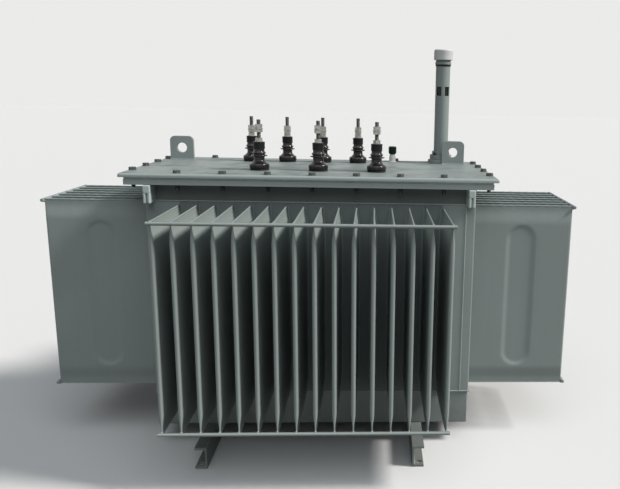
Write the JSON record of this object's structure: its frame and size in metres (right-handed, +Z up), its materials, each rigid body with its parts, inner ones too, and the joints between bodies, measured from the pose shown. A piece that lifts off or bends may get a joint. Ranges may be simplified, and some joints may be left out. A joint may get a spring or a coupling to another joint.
{
  "type": "oil-filled isolation transformer",
  "caption": "Oil-filled isolation transformer: corrugated finned tank on channel skids, bolted cover with two rows of porcelain bushings, lifting lugs, and a tall filler pipe.",
  "frame": {"origin": "on the ground, under the middle of the tank", "axes": "+X along the tank to the right, +Y from front to back, +Z up"},
  "size_m": [1.576, 1.016, 1.21],
  "materials": {
    "grey_enamel": "semi-gloss grey paint",
    "brown_glaze": "brown glazed porcelain",
    "stud_metal": "plated nuts and studs",
    "black_rubber": "matt",
    "white_plastic": "moulded cap",
    "black_cap": "black moulding"
  },
  "bodies": {
    "root": {"back_finned_wall": "grey_enamel", "back_insulators": "brown_glaze", "back_left_corner_post": "grey_enamel", "back_left_lifting_ear": "grey_enamel", "back_right_corner_post": "grey_enamel", "back_right_lifting_ear": "grey_enamel", "back_terminals": "stud_metal", "back_tie_bars": "grey_enamel", "cover_gasket": "black_rubber", "cover_plate": "grey_enamel", "filler_cap": "white_plastic", "filler_flange": "grey_enamel", "filler_level_glass": "black_cap", "filler_neck": "grey_enamel", "filler_pipe": "grey_enamel", "filler_seal_ring": "black_cap", "front_finned_wall": "grey_enamel", "front_insulators": "brown_glaze", "front_left_corner_post": "grey_enamel", "front_left_lifting_ear": "grey_enamel", "front_right_corner_post": "grey_enamel", "front_right_lifting_ear": "grey_enamel", "front_terminals": "stud_metal", "front_tie_bars": "grey_enamel", "left_cover_lug": "grey_enamel", "left_finned_wall": "grey_enamel", "left_skid": "grey_enamel", "left_tie_bars": "grey_enamel", "right_cover_lug": "grey_enamel", "right_finned_wall": "grey_enamel", "right_skid": "grey_enamel", "right_tie_bars": "grey_enamel", "rim_flange": "grey_enamel", "tank_base": "grey_enamel", "tank_body": "grey_enamel", "tank_collar": "grey_enamel", "thermometer_knob": "black_cap", "thermometer_pocket": "grey_enamel"}
  },
  "joints": []
}
